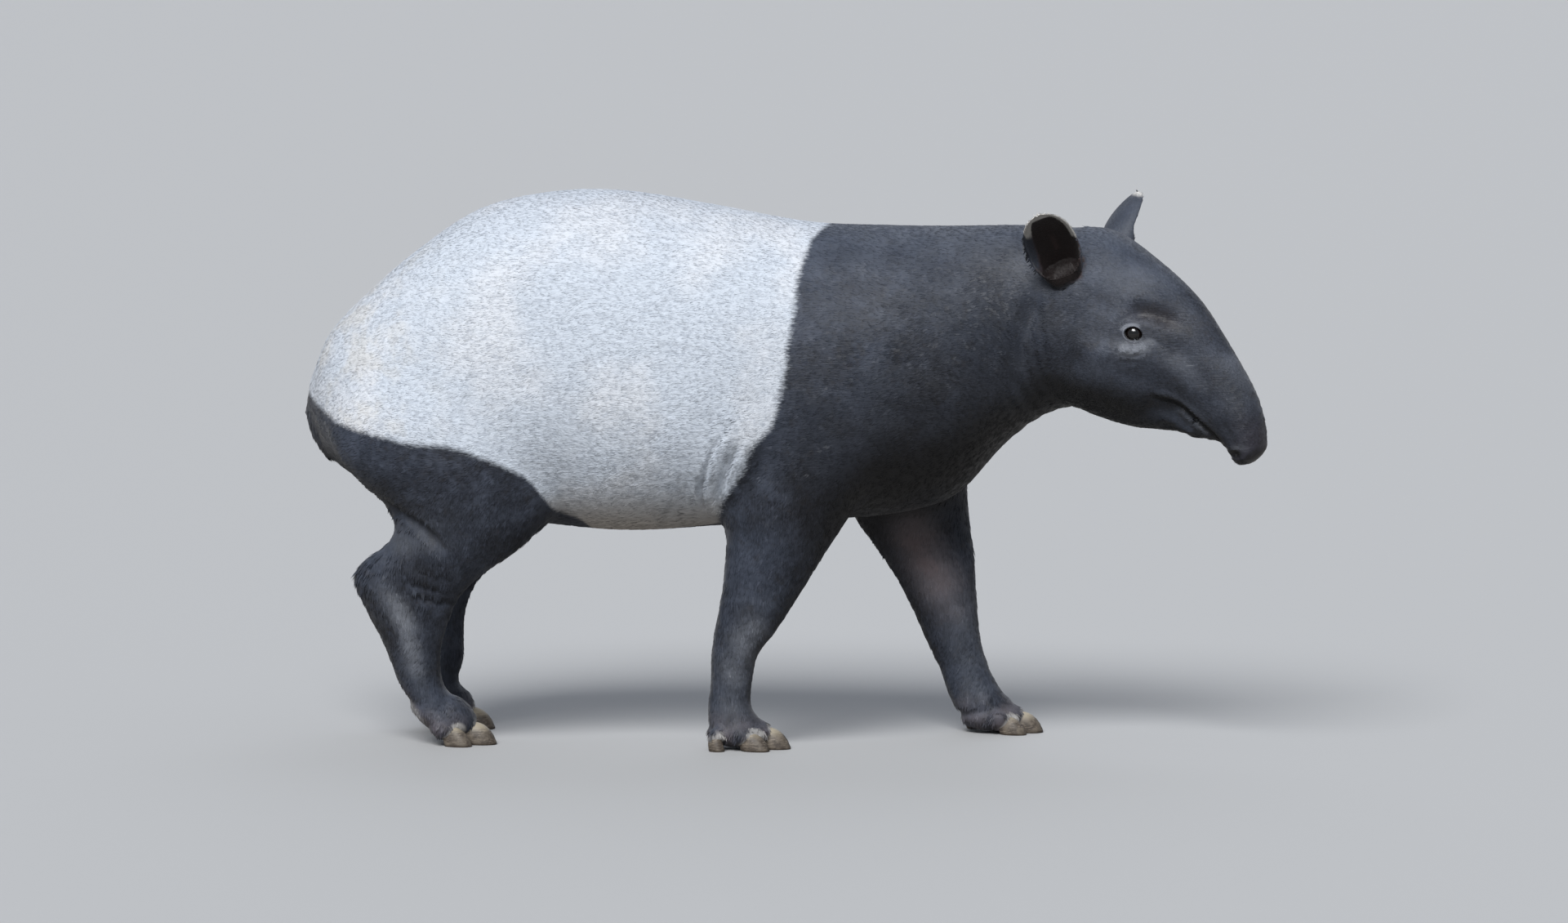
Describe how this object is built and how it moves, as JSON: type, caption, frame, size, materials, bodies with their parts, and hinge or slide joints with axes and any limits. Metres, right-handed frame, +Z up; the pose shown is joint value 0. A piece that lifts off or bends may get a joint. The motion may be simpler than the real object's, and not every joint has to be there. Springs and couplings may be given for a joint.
{
  "type": "malayan tapir model",
  "caption": "Still life-size model of an adult Malayan tapir, black and white, in mid-stride with its head turned a little to its right.",
  "frame": {"origin": "on the floor under the middle of the animal's bounding box", "axes": "+X forward, from rump to snout; +Y to the animal's left; +Z up"},
  "size_m": [1.846, 0.5298, 1.0568],
  "materials": {
    "slate_coat": "short dense fur lying flat, matt with a faint sheen",
    "white_coat": "short dense fur lying flat, matt",
    "hoof_horn": "worn horn, dull",
    "eye": "wet and glossy"
  },
  "bodies": {
    "root": {"torso": "white_coat", "neck": "slate_coat", "head": "slate_coat", "proboscis": "slate_coat", "ear_right": "slate_coat", "ear_left": "slate_coat", "tail": "slate_coat", "foreleg_upper_right": "slate_coat", "foreleg_lower_right": "slate_coat", "foreleg_upper_left": "slate_coat", "foreleg_lower_left": "slate_coat", "hindleg_upper_right": "slate_coat", "hindleg_lower_right": "slate_coat", "hindleg_upper_left": "slate_coat", "hindleg_lower_left": "slate_coat", "eye_right": "eye", "eye_left": "eye", "hoof_fore_right_middle": "hoof_horn", "hoof_fore_right_inner": "hoof_horn", "hoof_fore_right_outer": "hoof_horn", "hoof_fore_right_small": "hoof_horn", "hoof_fore_left_middle": "hoof_horn", "hoof_fore_left_inner": "hoof_horn", "hoof_fore_left_outer": "hoof_horn", "hoof_fore_left_small": "hoof_horn", "hoof_hind_right_middle": "hoof_horn", "hoof_hind_right_inner": "hoof_horn", "hoof_hind_right_outer": "hoof_horn", "hoof_hind_left_middle": "hoof_horn", "hoof_hind_left_inner": "hoof_horn", "hoof_hind_left_outer": "hoof_horn"}
  },
  "joints": []
}
